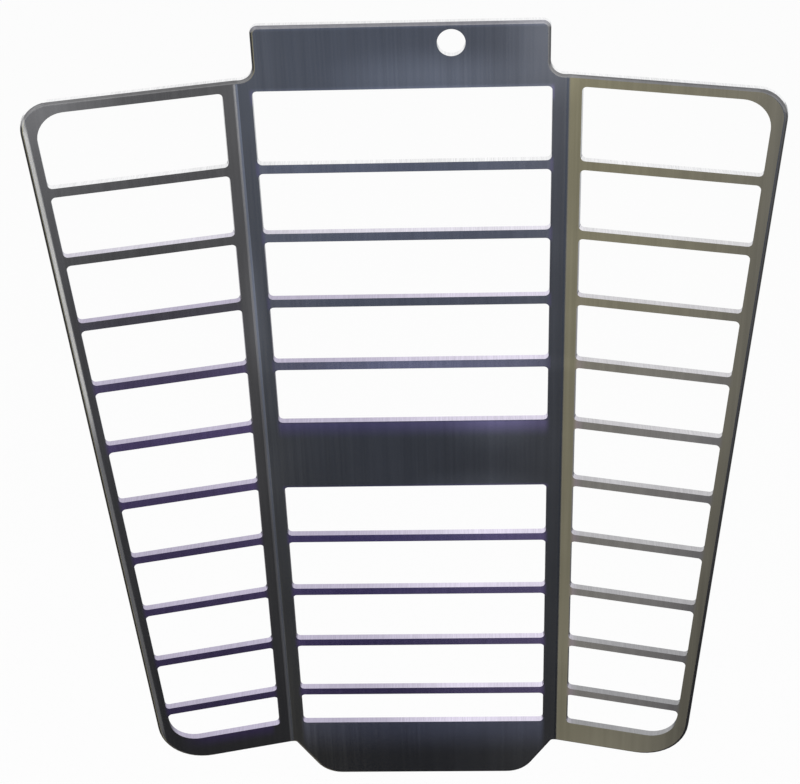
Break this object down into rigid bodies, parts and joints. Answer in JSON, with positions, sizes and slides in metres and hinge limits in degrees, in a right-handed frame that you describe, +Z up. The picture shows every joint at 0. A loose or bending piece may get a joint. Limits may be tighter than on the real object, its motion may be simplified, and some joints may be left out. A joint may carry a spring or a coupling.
{
  "type": "motorcycle radiator guard",
  "caption": "Tall folded steel grille that shields a motorcycle radiator from stones: rows of level bars, two wings folded forward, a top tab with one fixing hole and a bottom lip.",
  "frame": {"origin": "rear face of the top tab, on the centre line, level with the fixing hole", "axes": "+X to the right seen from the front, +Y back towards the radiator, +Z up along the fold lines"},
  "size_m": [0.2264, 0.0173, 0.305],
  "materials": {
    "brushed_sheet": "satin stainless sheet, finely brushed, laser-cut edges left bright"
  },
  "bodies": {
    "root": {"radiator_guard": "brushed_sheet"}
  },
  "joints": []
}
